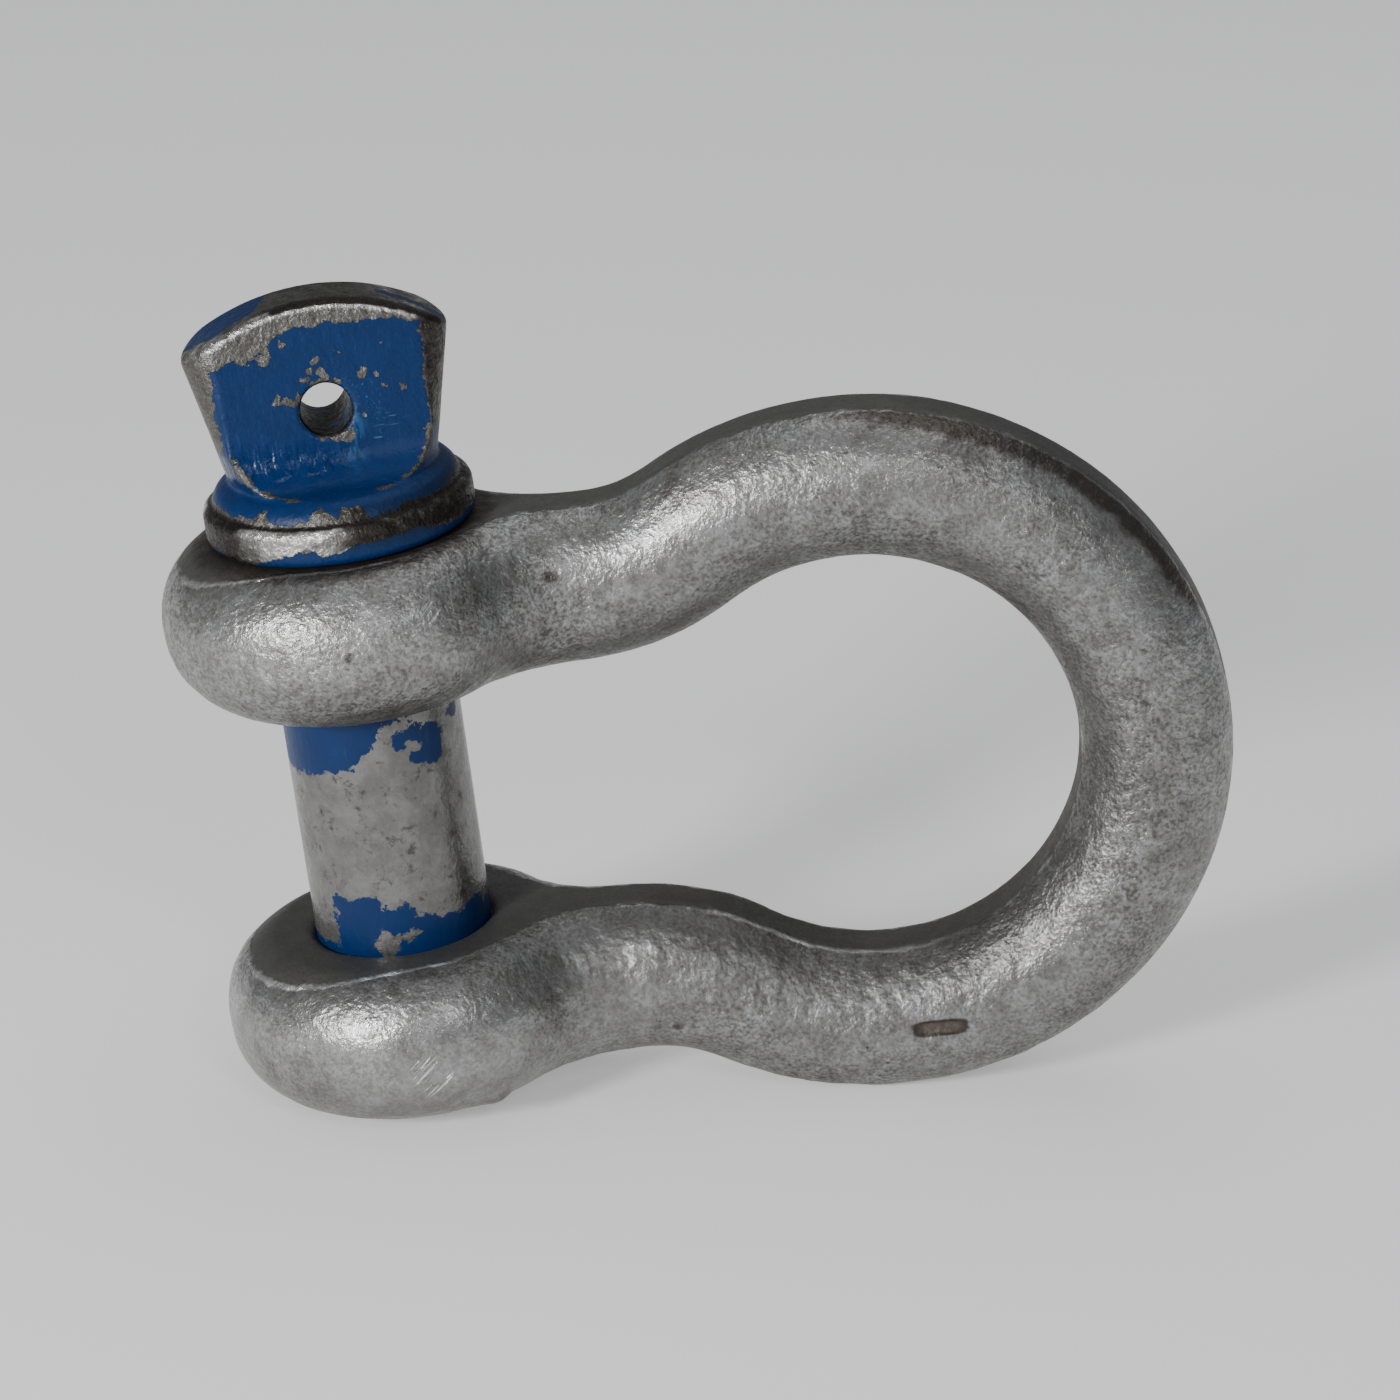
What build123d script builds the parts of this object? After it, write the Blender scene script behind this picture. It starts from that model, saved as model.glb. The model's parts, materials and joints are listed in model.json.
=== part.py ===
from build123d import *
import os
from math import acos, atan2, cos, hypot, sin, sqrt

# Forged screw pin bow shackle of the 19 mm size, in millimetres.
# It stands on a level surface on two places of its bow: the edge of the threaded ear's outer face
# and the side of the bow. The pin's axis leans back, the pin's head is up, and the crown lies towards +X.

# Bow, sizes set by themselves
bar_width = 19.4            # round bar, square to the plane of the bow
bar_thickness = 18.7        # between the two forged flats, in the plane of the bow
bow_inside_width = 52.2     # across the inside of the crown
inside_length = 75.2        # from the pin to the inside of the crown
jaw_gap = 32.5              # between the ears
leg_turn_radius = 26.0      # reverse curve from each ear into the crown, at the middle of the bar
ear_diameter = 46.8
ear_thickness = 20.0
ear_neck_reach = 27.62      # from the pin's axis to where the hollow corner below the ear's round meets the bar
flat_depth = 0.35           # how far the forged flats cut into the round section
side_land = 0.05            # land left on the bar's sides between its two rounded edges

# Pin, sizes set by themselves
pin_diameter = 22.0
thread_pitch = 2.8
collar_diameter = 32.9
collar_thickness = 4.7
collar_edge_radius = 1.2
skirt_height = 2.6          # slope from the collar up to the neck
skirt_step = 1.3            # how far the slope starts inside the collar's edge
skirt_bulge = 0.6           # how far the slope is rounded outwards
neck_diameter = 25.4
head_height = 29.2          # from the ear to the top of the paddle
head_width = 32.4           # across the paddle's upper corners
head_face_width = 24.8      # width of the paddle's flat face at the top
head_thickness_low = 12.6
head_thickness_top = 10.2
head_crest_rise = 5.6       # how far the top is arched above its corners
head_edge_radius = 1.2
saddle_radius = 5.0         # hollow where the paddle's faces run out onto the skirt
saddle_drop = 0.2           # fall of the run-out from the hollow to the neck's edge
eye_diameter = 6.2          # hole for a securing wire
eye_height = 16.2
eye_edge = 0.4
head_turn = 10.0            # degrees the tightened paddle stands round from the plane of the bow

# Fits
plain_bore_clearance = 0.7      # all round the pin in the upper ear
thread_clearance = 0.05         # all round the thread in the lower ear
collar_seat_clearance = 0.05    # between the collar and the ear it is screwed down to
shoulder_clearance = 0.3        # between the pin's shoulder and the countersink it enters
countersink_depth = 1.7
bore_edge = 0.8                 # chamfer on the other bore mouths
pin_tip_chamfer = 1.8

# Sizes that follow
ear_radius = ear_diameter / 2
rim_radius = bar_width / 2 - side_land
crown_inside_radius = bow_inside_width / 2
crown_x = pin_diameter / 2 + inside_length - crown_inside_radius
inner_face = jaw_gap / 2
outer_face = inner_face + ear_thickness
shank_radius = pin_diameter / 2
thread_depth = 0.65 * thread_pitch
thread_radius = shank_radius - thread_depth / 2
cut_spare = 2.0                 # how far a cutting or blank shape runs past the solid it meets

# Stance: the plane under the shackle meets the edge of the lower ear's flat and is tangent to the bow.
flat_radius = ear_radius - rim_radius + sqrt(rim_radius**2 - (rim_radius - flat_depth)**2)
bow_side_radius = crown_inside_radius + bar_thickness
contact_reach = crown_x + flat_radius
stance_tilt = atan2(contact_reach, outer_face) - acos(bow_side_radius / hypot(contact_reach, outer_face))
pin_axis_height = outer_face * cos(stance_tilt) + flat_radius * sin(stance_tilt)

# Bores and the pin's own heights and radii, measured along the pin from the middle of the jaw
plain_bore_radius = shank_radius + plain_bore_clearance
tapped_bore_radius = thread_radius + thread_clearance
countersink_bottom = -inner_face - countersink_depth
shoulder = countersink_bottom + (shank_radius + shoulder_clearance - tapped_bore_radius)
seat = outer_face + collar_seat_clearance
collar_radius = collar_diameter / 2
collar_top = seat + collar_thickness
rim_line = collar_radius - skirt_step / 2
neck_radius = neck_diameter / 2
skirt_top = collar_top + skirt_height
half_low = head_thickness_low / 2
saddle_top = skirt_top + saddle_drop + saddle_radius
crest = seat + head_height
crest_radius = ((head_width / 2)**2 + head_crest_rise**2) / (2 * head_crest_rise)

# The head's sides flare evenly from the neck to the corners, and its faces thin evenly above the saddle.
corner_height = crest - head_crest_rise
flare = (head_width / 2 - neck_radius) / (corner_height - skirt_top)
saddle_half_width = neck_radius + flare * (saddle_top - skirt_top)
crest_half_width = neck_radius + flare * (crest - skirt_top)
saddle_half_face = sqrt(saddle_half_width**2 - half_low**2)
above_saddle = (crest - saddle_top) / (corner_height - saddle_top)
crest_half_face = saddle_half_face + (head_face_width / 2 - saddle_half_face) * above_saddle
crest_half_thick = half_low + (head_thickness_top / 2 - half_low) * above_saddle

# The ears' rims and the crown are the two ends of the shackle, and the origin is midway between them.
crown_end = crown_x * cos(stance_tilt) + bow_side_radius
rim_centre_height = ear_thickness / 2 + inner_face + (ear_thickness / 2 + flat_depth - rim_radius)
rim_end = (ear_radius - rim_radius) * cos(stance_tilt) + rim_centre_height * sin(stance_tilt) + rim_radius
pin_axis_x = (rim_end - crown_end) / 2

# Planes of the shackle: seen along the pin, and seen from the side with the crown to the right
centre = (pin_axis_x, 0, pin_axis_height)
along = Vector(cos(stance_tilt), 0, sin(stance_tilt))
deck = Plane(origin=centre, x_dir=along, z_dir=(-sin(stance_tilt), 0, cos(stance_tilt)))
side = Plane(origin=centre, x_dir=along, z_dir=(0, -1, 0))
pin_axis = Axis(centre, deck.z_dir)

# Planes of the pin's head, turned about the pin: seen along the pin, onto the paddle, and onto its edge
across_head = along.rotate(Axis((0, 0, 0), deck.z_dir), head_turn)
head_deck = Plane(origin=centre, x_dir=across_head, z_dir=deck.z_dir)
head_side = Plane(origin=centre, x_dir=across_head, z_dir=-head_deck.y_dir)
head_edge = Plane(origin=centre, x_dir=head_deck.y_dir, z_dir=across_head)


def leg_face(face_height, crown_radius, turn_radius):
    """One face of a leg in side view: straight along the ear, the reverse curve, half of the crown."""
    reach = crown_radius + turn_radius
    turn_x = crown_x - sqrt(reach**2 - (face_height + turn_radius)**2)
    share = turn_radius / reach
    meeting = (turn_x + share * (crown_x - turn_x), (1 - share) * (face_height + turn_radius))
    with BuildLine() as face:
        straight = Line((-ear_radius - cut_spare, face_height), (turn_x, face_height))
        turn = TangentArc(straight @ 1, meeting, tangent=straight % 1)
        TangentArc(turn @ 1, (crown_x + crown_radius, 0), tangent=turn % 1)
    return face.line


def bow_band(spare):
    """Side view of the bow, thicker by spare on both faces, with the ears' ends left square."""
    low = inner_face - spare
    high = outer_face + spare
    with BuildSketch(side) as band:
        with BuildLine():
            add(leg_face(low, crown_inside_radius - spare, leg_turn_radius + bar_thickness / 2 + spare))
            add(leg_face(high, bow_side_radius + spare, leg_turn_radius - bar_thickness / 2 - spare))
            Line((-ear_radius - cut_spare, low), (-ear_radius - cut_spare, high))
            mirror(about=Plane.XZ)
        make_face()
    return band.sketch


def ear_and_bar_outline():
    """The bow seen along the pin: the ear's round, a hollow corner, and the bar's straight side."""
    half_bar = bar_width / 2
    hollow_radius = (ear_neck_reach**2 + half_bar**2 - ear_radius**2) / (2 * (ear_radius - half_bar))
    share = ear_radius / (ear_radius + hollow_radius)
    end_x = crown_x + bow_side_radius + cut_spare
    with BuildSketch(deck) as outline:
        with BuildLine():
            rim_end_point = (share * ear_neck_reach, share * (half_bar + hollow_radius))
            rim = TangentArc((-ear_radius, 0), rim_end_point, tangent=(0, 1))
            hollow = TangentArc(rim @ 1, (ear_neck_reach, half_bar), tangent=rim % 1)
            straight = Line(hollow @ 1, (end_x, half_bar))
            Line(straight @ 1, (end_x, 0))
            mirror(about=Plane.XZ)
        make_face()
    return outline.sketch


def bore_profile(radius, low, high, low_edge, high_edge):
    """Half section of a bore along the pin's axis, opened at 45 degrees by an edge at each mouth."""
    with BuildSketch(side) as profile:
        with BuildLine():
            Polyline(
                (0, low - cut_spare),
                (radius + low_edge + cut_spare, low - cut_spare),
                (radius, low + low_edge),
                (radius, high - high_edge),
                (radius + high_edge + cut_spare, high + cut_spare),
                (0, high + cut_spare),
                close=True,
            )
        make_face()
    return profile.sketch


# Bow: one forging with two ears, rounded along all its edges and pressed flat on both faces
with BuildPart() as bow:
    extrude(bow_band(flat_depth), amount=ear_radius + cut_spare, both=True)
    extrude(ear_and_bar_outline(), amount=2 * bow_side_radius, both=True, mode=Mode.INTERSECT)
    square_edges = bow.edges().filter_by(Axis.Y) + bow.edges().filter_by(pin_axis)
    fillet(bow.edges() - square_edges, radius=rim_radius)
    extrude(bow_band(0), amount=ear_radius + cut_spare, both=True, mode=Mode.INTERSECT)
    # Plain bore in the upper ear, and the threaded one below it, countersunk where the pin enters
    plain_bore = bore_profile(plain_bore_radius, inner_face, outer_face, bore_edge, bore_edge)
    revolve(plain_bore, axis=pin_axis, mode=Mode.SUBTRACT)
    tapped_bore = bore_profile(tapped_bore_radius, -outer_face, -inner_face, bore_edge, countersink_depth)
    revolve(tapped_bore, axis=pin_axis, mode=Mode.SUBTRACT)
bow.part.label = "bow"


def paddle_section(height, half_face, half_width, half_thick):
    """The paddle seen along the pin: two flat faces and two rounded ends."""
    with BuildSketch(head_deck.offset(height)) as section:
        with BuildLine():
            Line((-half_face, half_thick), (half_face, half_thick))
            ThreePointArc((half_face, half_thick), (half_width, 0), (half_face, -half_thick))
            Line((half_face, -half_thick), (-half_face, -half_thick))
            ThreePointArc((-half_face, -half_thick), (-half_width, 0), (-half_face, half_thick))
        make_face()
    return section.sketch.face()


# Screw pin: shank, threaded end, collar and paddle in one forging, screwed down until the collar seats
with BuildPart() as screw_pin:
    # Turned form up to the neck, on which the paddle stands
    with BuildSketch(head_side):
        with BuildLine():
            shank_and_collar = Polyline(
                (0, saddle_top),
                (0, -outer_face),
                (thread_radius - pin_tip_chamfer, -outer_face),
                (thread_radius, -outer_face + pin_tip_chamfer),
                (thread_radius, shoulder - (shank_radius - thread_radius)),
                (shank_radius, shoulder),
                (shank_radius, seat),
                (collar_radius, seat),
                (collar_radius, collar_top),
                (collar_radius - skirt_step, collar_top),
            )
            skirt = SagittaArc(shank_and_collar @ 1, (neck_radius, skirt_top), -skirt_bulge)
            Polyline(skirt @ 1, (saddle_half_width, saddle_top), (0, saddle_top))
        make_face()
    revolve(axis=pin_axis)
    collar_edges = screw_pin.edges().filter_by(GeomType.CIRCLE).filter_by(lambda edge: edge.radius > rim_line)
    fillet(collar_edges, radius=collar_edge_radius)
    # Hollows on both sides, where the paddle's faces run out onto the skirt
    with BuildSketch(head_edge):
        with BuildLine():
            face_line = Line((half_low, saddle_top + cut_spare), (half_low, saddle_top))
            hollow_end = (half_low + saddle_radius, saddle_top - saddle_radius)
            run_out = TangentArc(face_line @ 1, hollow_end, tangent=face_line % 1)
            past_neck = saddle_half_width + cut_spare
            Polyline(
                run_out @ 1,
                (neck_radius, skirt_top),
                (past_neck, skirt_top),
                (past_neck, saddle_top + cut_spare),
                face_line @ 0,
            )
        make_face()
        mirror(about=Plane.YZ)
    extrude(amount=head_width, both=True, mode=Mode.SUBTRACT)
    # Paddle, widening and thinning upwards, with an arched top
    saddle_section = paddle_section(saddle_top, saddle_half_face, saddle_half_width, half_low)
    loft([saddle_section, paddle_section(crest, crest_half_face, crest_half_width, crest_half_thick)])
    with BuildSketch(head_side):
        with Locations((0, crest)):
            Rectangle(2 * crest_half_width + cut_spare, 2 * head_crest_rise)
        with Locations((0, crest - crest_radius)):
            Circle(crest_radius, mode=Mode.SUBTRACT)
    extrude(amount=head_thickness_low, both=True, mode=Mode.SUBTRACT)
    crest_face = screw_pin.faces().sort_by(pin_axis)[-1]
    fillet(crest_face.edges(), radius=head_edge_radius)
    # Eye for a securing wire, with its edges eased
    with BuildSketch(head_side):
        with Locations((0, seat + eye_height)):
            Circle(eye_diameter / 2)
    extrude(amount=head_thickness_low, both=True, mode=Mode.SUBTRACT)
    eye_mouths = screw_pin.edges(Select.LAST).filter_by(GeomType.LINE, reverse=True)
    chamfer(eye_mouths, length=eye_edge)
screw_pin.part.label = "screw_pin"

os.makedirs("parts", exist_ok=True)
export_step(bow.part, "parts/bow.step")
export_step(screw_pin.part, "parts/screw_pin.step")
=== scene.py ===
import bmesh
import bpy
import json
import math
import numpy as np
from mathutils import Matrix, Vector, noise


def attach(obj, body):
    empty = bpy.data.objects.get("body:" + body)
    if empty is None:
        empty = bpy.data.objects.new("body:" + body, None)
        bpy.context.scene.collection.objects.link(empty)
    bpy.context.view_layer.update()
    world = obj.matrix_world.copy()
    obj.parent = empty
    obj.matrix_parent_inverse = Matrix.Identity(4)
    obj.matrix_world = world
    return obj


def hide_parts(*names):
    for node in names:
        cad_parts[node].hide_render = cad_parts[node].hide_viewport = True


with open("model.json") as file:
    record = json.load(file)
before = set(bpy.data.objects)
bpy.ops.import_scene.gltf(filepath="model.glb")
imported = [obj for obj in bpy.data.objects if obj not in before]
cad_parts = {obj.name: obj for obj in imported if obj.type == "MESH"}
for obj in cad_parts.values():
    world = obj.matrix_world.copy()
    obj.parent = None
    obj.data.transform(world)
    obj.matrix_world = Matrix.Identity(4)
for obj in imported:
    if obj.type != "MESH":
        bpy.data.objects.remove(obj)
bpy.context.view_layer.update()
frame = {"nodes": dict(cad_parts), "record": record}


# Bow
# One drop forging with two ears, coated by dipping in molten zinc. A pressed flat runs along its
# outside and another along its inside, from ear to ear. The threaded ear stands below, and the plain
# ear carries the pin's collar. Its sizes are in millimetres, from the middle of the pin.
mm = 0.001
mounts = {mount["name"]: mount for mount in frame["record"]["mounts"]}
pin_middle = Vector(mounts["pin_in_jaw"]["pos_m"])
pin_up = Vector(mounts["pin_in_jaw"]["axis"]).normalized()
across_bow = Vector((0, 1, 0))
to_crown = across_bow.cross(pin_up)
shackle_axes = np.array((to_crown, across_bow, pin_up))

bow_mesh_size = 0.6 * mm
weld_reach = 0.0005 * mm
inner_face = 16.25
outer_face = 36.25
bore_reach = 13.2
flat_half_width = 2.95
flat_ear_radius = 16.3
flat_blend = 9.0
flat_dip = 0.03
upper_rear_reach = 4.0
lower_rear_reach = 3.4
dent_at = np.array((65.4, -9.7, -34.6))
dent_size = np.array((3.5, 2.2, 1.1))
dent_depth = 0.35
drip_at = np.array((10.4, -17.4, -34.0))
drip_size = np.array((2.3, 1.9, 1.7))
drip_height = 0.85
bow_middle = np.array((42.0, 0, 0))


def own_mesh(source, name):
    """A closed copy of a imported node's mesh, as an object of its own."""
    mesh = source.data.copy()
    mesh.name = name
    piece = bpy.data.objects.new(name, mesh)
    bpy.context.scene.collection.objects.link(piece)
    work = bmesh.new()
    work.from_mesh(mesh)
    bmesh.ops.remove_doubles(work, verts=work.verts, dist=weld_reach)
    work.to_mesh(mesh)
    work.free()
    return piece


def evenly_meshed(piece, size, smoothing):
    """Rebuilds the piece's mesh in even small faces, then eases the steps between the old large ones."""
    even = piece.modifiers.new("even", "REMESH")
    even.mode = "VOXEL"
    even.voxel_size = size
    eased = piece.modifiers.new("eased", "SMOOTH")
    eased.factor = 0.5
    eased.iterations = smoothing
    applied(piece)


def applied(piece):
    """Turns the piece's modifiers into mesh."""
    made = bpy.data.meshes.new_from_object(piece.evaluated_get(bpy.context.evaluated_depsgraph_get()))
    piece.modifiers.clear()
    old = piece.data
    piece.data = made
    made.name = piece.name
    bpy.data.meshes.remove(old)


def combined(piece, other, operation):
    """Joins the other solid to the piece, or cuts it away, and deletes it."""
    step = piece.modifiers.new(operation.lower(), "BOOLEAN")
    step.operation = operation
    step.object = other
    step.solver = "EXACT"
    applied(piece)
    bpy.data.objects.remove(other)


def points(mesh, what="co"):
    """The mesh's points, or their normals, as an array."""
    found = np.zeros(len(mesh.vertices) * 3)
    mesh.vertices.foreach_get(what, found)
    return found.reshape(-1, 3)


def in_shackle(places):
    """Places in millimetres from the middle of the pin: towards the crown, across the bow, up the pin."""
    return (places - np.array(pin_middle)) @ shackle_axes.T / mm


def lumps(places, size, seed):
    """Smooth random heights between about -1 and 1 at the places, with swells of the given size."""
    return np.array([noise.noise(Vector(p) / size + Vector((seed, 0, 0))) for p in places])


def ramp(value, low, high):
    """0 below low, 1 above high, and an even curve between."""
    share = np.clip((value - low) / (high - low), 0, 1)
    return share * share * (3 - 2 * share)


def rounded_least(first, second, blend):
    """The lesser of two distances, with a round corner where they differ by less than the blend."""
    share = np.clip(0.5 + 0.5 * (first - second) / blend, 0, 1)
    return first * (1 - share) + second * share - blend * share * (1 - share)


def spots(places, marks, whole):
    """A mask of round spots, each a middle and a radius, that fade outward from a share of the radius."""
    mask = np.zeros(len(places))
    for middle, radius in marks:
        away = np.linalg.norm(places - np.array(middle), axis=1)
        mask = np.maximum(mask, ramp(away, radius, radius * whole))
    return mask


def set_field(mesh, name, values):
    """Keeps one number, or one vector, at each of the mesh's points for the material to read."""
    kind, key = ("FLOAT", "value") if values.ndim == 1 else ("FLOAT_VECTOR", "vector")
    mesh.attributes.new(name, kind, "POINT").data.foreach_set(key, values.astype(np.float32).ravel())


def moved(mesh, places):
    """Puts the mesh's points at the places."""
    mesh.vertices.foreach_set("co", places.ravel())
    mesh.update()


bow = own_mesh(frame["nodes"]["bow"], "bow_forging")
evenly_meshed(bow, bow_mesh_size, 5)
skin = points(bow.data)
outward = points(bow.data, "normal")
facing_up = outward @ np.array(pin_up)
place = in_shackle(skin)
reach, side, height = place.T
from_pin = np.hypot(reach, side)

# How far each point lies outside the pressed flats, a band along the bar that joins the rounds
# of the ears. On both ears the flat reaches further out at the rear, away from the crown.
from_rear = 180 - np.abs(np.degrees(np.arctan2(side, reach)))
upper_rear = upper_rear_reach * ramp(from_rear, 85, 20)
lower_rear = lower_rear_reach * ramp(from_rear, 100, 35)
off_ear_flat = from_pin - flat_ear_radius - np.where(height > 0, upper_rear, lower_rear)
off_bar_flat = np.where(reach > 0, np.abs(side) - flat_half_width, from_pin)
off_flat = rounded_least(off_bar_flat, off_ear_flat, flat_blend)
in_bore = (from_pin < bore_reach) & (np.abs(facing_up) < 0.9)
out_of_bore = np.where(in_bore, 0, 1)
rough = ramp(off_flat, -0.5, 1.2) * out_of_bore
on_lower_leg = ramp(reach, 12, 27) * ramp(height, -14, -20)

# The forging's unevenness, from slow waves down to the coarse end of the zinc's grain
swell = 0.16 * lumps(skin, 17 * mm, 3) + 0.07 * lumps(skin, 6.5 * mm, 11)
pebbles = 0.065 * lumps(skin, 2.3 * mm, 23) + 0.035 * lumps(skin, 1.3 * mm, 31)
coarse = 0.11 * lumps(skin, 4.2 * mm, 37) * on_lower_leg
flat_wear = flat_dip * lumps(skin, 5 * mm, 41) - flat_dip
rise = (swell + pebbles + coarse) * rough + flat_wear * (1 - rough) * out_of_bore

# A dent on the lower leg, left by scale, and a run of zinc that set at the lower ear's bottom edge
dent = np.exp(-(((place - dent_at) / dent_size) ** 4).sum(1))
drip = np.exp(-(((place - drip_at) / drip_size) ** 2).sum(1))
rise = rise - dent_depth * dent + drip_height * drip
moved(bow.data, skin + outward * (rise * mm)[:, None])
set_field(bow.data, "off_flat", off_flat)
set_field(bow.data, "dent", dent)
set_field(bow.data, "place", place)

# Where the ears' fronts are scratched
scratches = [((3.2, -23.1, -27.3), 2.4), ((4.4, -22.8, -29.2), 2.6), ((11.2, -19.6, 30.8), 1.7)]
set_field(bow.data, "scratched", spots(place, scratches, 0.5))

# Brown dirt along the flats' rims on the upper half of the crown and in small stains, and painted shade
# round the foot of the pin's collar
stains = [((25.1, -9.6, 29.9), 1.8), ((1.5, -23.3, 27.5), 1.6), ((33.0, -9.0, -31.2), 1.5)]
soil_and_shade = ramp(reach, 45, 75) * ramp(off_flat, 5.0, 1.2) * ramp(off_flat, -0.4, 0.8) * ramp(height, 8, 20)
soil_and_shade = np.maximum(soil_and_shade, spots(place, stains, 0))
soil_and_shade = np.maximum(soil_and_shade, 0.75 * ramp(from_pin, 21.5, 16.8) * (height > 33))
set_field(bow.data, "soil_and_shade", soil_and_shade)

# Painted shade, with rougher zinc, on the side that looks into the bow and underneath
inwards = (bow_middle - place) * np.array((1, 0, 1))
inwards = inwards / np.linalg.norm(inwards, axis=1, keepdims=True)
looking_in = (outward @ shackle_axes.T * inwards).sum(1)
inside_bow = ramp(looking_in, 0.1, 0.9) * ramp(reach, 14, 34)
set_field(bow.data, "shaded_dull", np.maximum(inside_bow, 0.9 * ramp(-outward[:, 2], 0.4, 1.0)))

# Zinc rubbed bright round the ears and along the outside of the bow, with a painted highlight, but not
# underneath
on_ears = ramp(from_pin, 18, 22) * ramp(reach, 18, 8)
outside_bow = 0.7 * ramp(-looking_in, -0.1, 0.6) * ramp(reach, 14, 34)
set_field(bow.data, "burnished_highlight", np.maximum(on_ears, outside_bow) * ramp(-outward[:, 2], 0.6, -0.2))

# The coat is leathery on the bow and the upper ear, and smoother on the lower ear
set_field(bow.data, "leathery", 1 - 0.3 * ramp(height, -12, -24) * ramp(reach, 46, 20))

# The near rims of the flats that face upwards, on both ears and on the lower leg, stand out, are rubbed
# bright and carry a painted highlight
on_upward_flat = (height > 30) | (np.abs(height + inner_face) < 4)
ear_rim = ramp(side, -4, -9) * ramp(reach, 14, 6) * on_upward_flat
leg_rim = ramp(reach, 34, 42) * ramp(reach, 72, 58) * (side < 0) * (height < -14)
set_field(bow.data, "near_rim_glint", np.maximum(ear_rim, leg_rim) * (facing_up > 0))

# Coarse pebbles in the zinc on the near side of the lower leg
set_field(bow.data, "pebbly", on_lower_leg * ramp(reach, 78, 58) * ramp(side, 0, -4))

# The thread of the pin and of the lower ear, cut on one helix so that they mesh. Of half a turn's
# pitch, the groove's floor takes one share and the flank another, and the crest has the rest.
thread_pitch = 2.8
thread_crest = 10.95
thread_root = 9.25
thread_gap = 0.12
floor_share = 0.2
flank_share = 0.62
tip_chamfer = 1.9
thread_columns = 144
rows_per_turn = 14


def thread_radius(turns):
    """Radius of the thread's flank, crest or root at a height counted in turns of the helix."""
    share = np.abs((turns % 1.0) - 0.5) * 2
    return thread_root + (thread_crest - thread_root) * np.clip((share - floor_share) / flank_share, 0, 1)


def threaded_bar(name, low, high, grow, upper_rings, ease):
    """A closed bar on the pin's axis: a thread from low to high, then rings of (height, radius) above it.

    The mesh's rows follow the helix, so that the crests stay sharp. A bar that isn't grown has a
    chamfered tip."""
    turn = np.arange(thread_columns) / thread_columns
    start = low / thread_pitch - 1
    rows = int((high - low) / thread_pitch + 3) * rows_per_turn
    step = np.arange(rows)[:, None] / rows_per_turn
    rise = np.clip((start + step + turn) * thread_pitch, low, high)
    radius = thread_radius(rise / thread_pitch - turn)
    faded = ramp(rise, high - ease, high)
    radius = radius + (thread_crest - radius) * faded + grow
    if grow == 0:
        radius = np.minimum(radius, (thread_crest - tip_chamfer) + (rise - low))
    rings = [(np.full(thread_columns, z), np.full(thread_columns, r)) for z, r in upper_rings]
    heights = np.vstack([rise] + [z for z, r in rings])
    radii = np.vstack([radius] + [r for z, r in rings])
    angle = turn * 2 * math.pi
    local = np.stack((radii * np.cos(angle), radii * np.sin(angle), heights), -1)
    world = local @ shackle_axes * mm + np.array(pin_middle)
    work = bmesh.new()
    grid = [[work.verts.new(p) for p in row] for row in world]
    for i in range(len(grid) - 1):
        for j in range(thread_columns - 1):
            work.faces.new((grid[i][j], grid[i][j + 1], grid[i + 1][j + 1], grid[i + 1][j]))
    partner = [min(i + rows_per_turn, rows - 1) if i < rows else i for i in range(len(grid))]
    for i in range(len(grid) - 1):
        if partner[i] != partner[i + 1]:
            work.faces.new((grid[i][-1], grid[partner[i]][0], grid[partner[i + 1]][0], grid[i + 1][-1]))
    bmesh.ops.remove_doubles(work, verts=work.verts, dist=2 * weld_reach)
    bmesh.ops.dissolve_degenerate(work, edges=work.edges, dist=2 * weld_reach)
    open_edges = [e for e in work.edges if len(e.link_faces) == 1]
    bmesh.ops.holes_fill(work, edges=open_edges, sides=0)
    bmesh.ops.recalc_face_normals(work, faces=work.faces)
    mesh = bpy.data.meshes.new(name)
    work.to_mesh(mesh)
    work.free()
    bar = bpy.data.objects.new(name, mesh)
    bpy.context.scene.collection.objects.link(bar)
    return bar


cutter_overrun = 3
cutter = threaded_bar("lower_ear_thread", -outer_face - cutter_overrun, -inner_face + cutter_overrun,
                      thread_gap, [], 0.1)
combined(bow, cutter, "DIFFERENCE")
bow.data.shade_smooth()
bow.data.set_sharp_from_angle(angle=math.radians(50))


def wire(tree, kind, inputs=None, **settings):
    """Adds a node to the tree, sets its settings, and sets or links its inputs by name or number."""
    node = tree.nodes.new(kind)
    for name, value in settings.items():
        setattr(node, name, value)
    for name, value in (inputs or {}).items():
        if isinstance(value, bpy.types.NodeSocket):
            tree.links.new(value, node.inputs[name])
        else:
            node.inputs[name].default_value = value
    return node


def counted(tree, operation, *values):
    """The result of a sum on sockets and numbers."""
    return wire(tree, "ShaderNodeMath", dict(enumerate(values)), operation=operation).outputs[0]


def eased(tree, value, low, high, to_low=0.0, to_high=1.0):
    """The value's place between low and high, on an even curve from to_low to to_high."""
    inputs = {"Value": value, "From Min": low, "From Max": high, "To Min": to_low, "To Max": to_high}
    return wire(tree, "ShaderNodeMapRange", inputs, interpolation_type="SMOOTHSTEP").outputs[0]


def blended(tree, share, first, second):
    """Two colours blended by a share."""
    return wire(tree, "ShaderNodeMix", {0: share, 6: first, 7: second}, data_type="RGBA").outputs[2]


def grain(tree, where, size_mm, detail=3.0, roughness=0.5, distortion=0.0):
    """Noise with features of the given size in millimetres, between 0 and 1."""
    inputs = {"Vector": where, "Scale": 1 / size_mm, "Detail": detail, "Roughness": roughness}
    return wire(tree, "ShaderNodeTexNoise", inputs | {"Distortion": distortion}).outputs[0]


def drawn_out(tree, where, scale, turn=(0, 0, 0)):
    """The places scaled and then turned, so that a grain laid on them is drawn out in one direction."""
    return wire(tree, "ShaderNodeMapping", {"Vector": where, "Scale": scale, "Rotation": turn}).outputs[0]


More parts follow.
